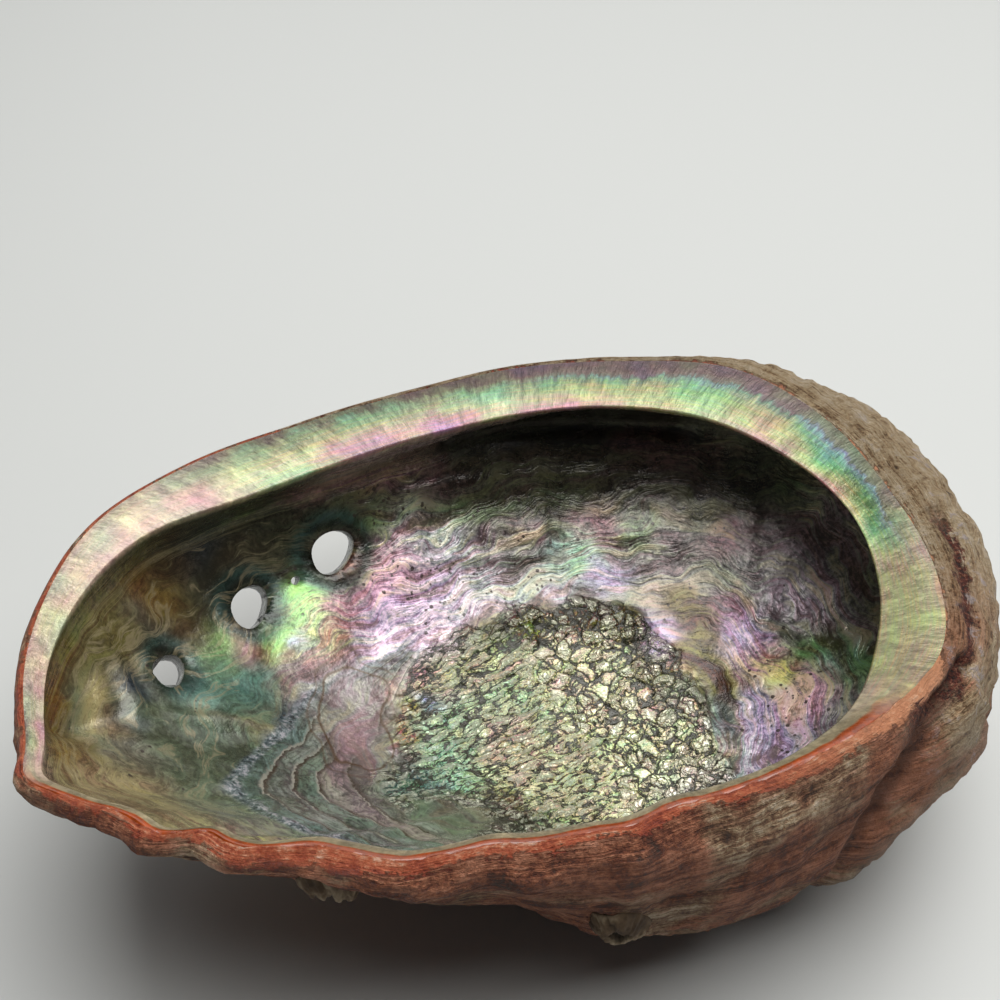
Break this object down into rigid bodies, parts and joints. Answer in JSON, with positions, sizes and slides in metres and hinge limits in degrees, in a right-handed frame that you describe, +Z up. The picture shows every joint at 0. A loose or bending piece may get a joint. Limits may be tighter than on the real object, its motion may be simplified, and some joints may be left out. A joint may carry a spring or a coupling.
{
  "type": "abalone shell",
  "caption": "Ear-shaped sea shell lying opening up, a deep nacre-lined bowl with a row of breathing holes, a wide inner shelf, a thin red lip and small barnacles on its crusty outside.",
  "frame": {"origin": "centre of the shell's bounding box in plan, on the ground that it lies on", "axes": "+X towards the spire, along the shell's length; +Y towards the side with the wide nacre shelf; +Z up, out of the opening"},
  "size_m": [0.1721, 0.1337, 0.0582],
  "materials": {
    "shell": "pearly nacre inside in green, pink and blue, matt brown crust outside, a thin coral-red lip",
    "barnacle": "chalky, ribbed, pale beige"
  },
  "bodies": {
    "root": {"shell": "shell", "barnacle_lip": "barnacle", "barnacle_wall": "barnacle"}
  },
  "joints": []
}
